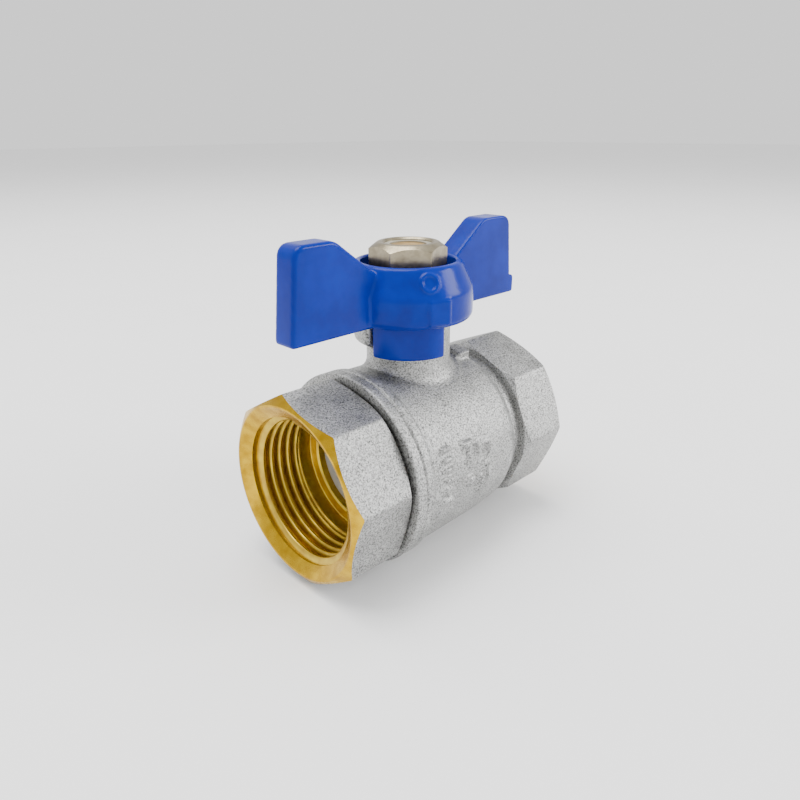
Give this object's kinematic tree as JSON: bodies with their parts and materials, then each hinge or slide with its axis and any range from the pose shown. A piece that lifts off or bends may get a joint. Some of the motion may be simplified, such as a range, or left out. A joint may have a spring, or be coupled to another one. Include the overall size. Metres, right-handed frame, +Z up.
{
  "type": "water shutoff valve",
  "caption": "Quarter-turn brass ball valve for a water line, with female pipe threads at both ends and a blue butterfly handle in line with the flow.",
  "frame": {"origin": "centre of the ball, where the flow axis crosses the stem axis", "axes": "+X along the flow towards the body's own threaded end, +Z up the stem, +Y across"},
  "size_m": [0.07, 0.0442, 0.0733],
  "materials": {
    "nickel_brass": "forged brass, satin nickel plated, with bare machined threads and end face",
    "chromed_brass": "polished chrome plate on a brass ball",
    "turned_brass": "turned brass",
    "ptfe": "smooth white PTFE",
    "nitrile": "black nitrile rubber",
    "blue_epoxy": "glossy blue epoxy on cast aluminium",
    "nickel_steel": "warm nickel plated steel",
    "nylon": "dull greyish nylon"
  },
  "bodies": {
    "valve_body": {"body": "nickel_brass", "end_connector": "nickel_brass", "inlet_seat": "ptfe", "outlet_seat": "ptfe", "stem_thrust_washer": "ptfe", "packing_ring_lower": "ptfe", "packing_ring_upper": "ptfe", "gland_nut": "turned_brass"},
    "handle_and_stem": {"handle": "blue_epoxy", "handle_nut": "nickel_steel", "nut_lock_ring": "nylon", "stem": "turned_brass", "stem_o_ring": "nitrile"},
    "ball": {"ball": "chromed_brass"}
  },
  "joints": [
    {"name": "handle_turn", "type": "hinge", "parent": "valve_body", "child": "handle_and_stem", "pos_m": [0, 0, 0], "axis": [0, 0, 1], "range_deg": [0, 90]},
    {"name": "ball_turn", "type": "hinge", "parent": "valve_body", "child": "ball", "pos_m": [0, 0, 0], "axis": [0, 0, 1], "range_deg": [0, 90]}
  ],
  "couplings": [
    {"joint": "ball_turn", "follows": "handle_turn", "ratio": 1}
  ]
}
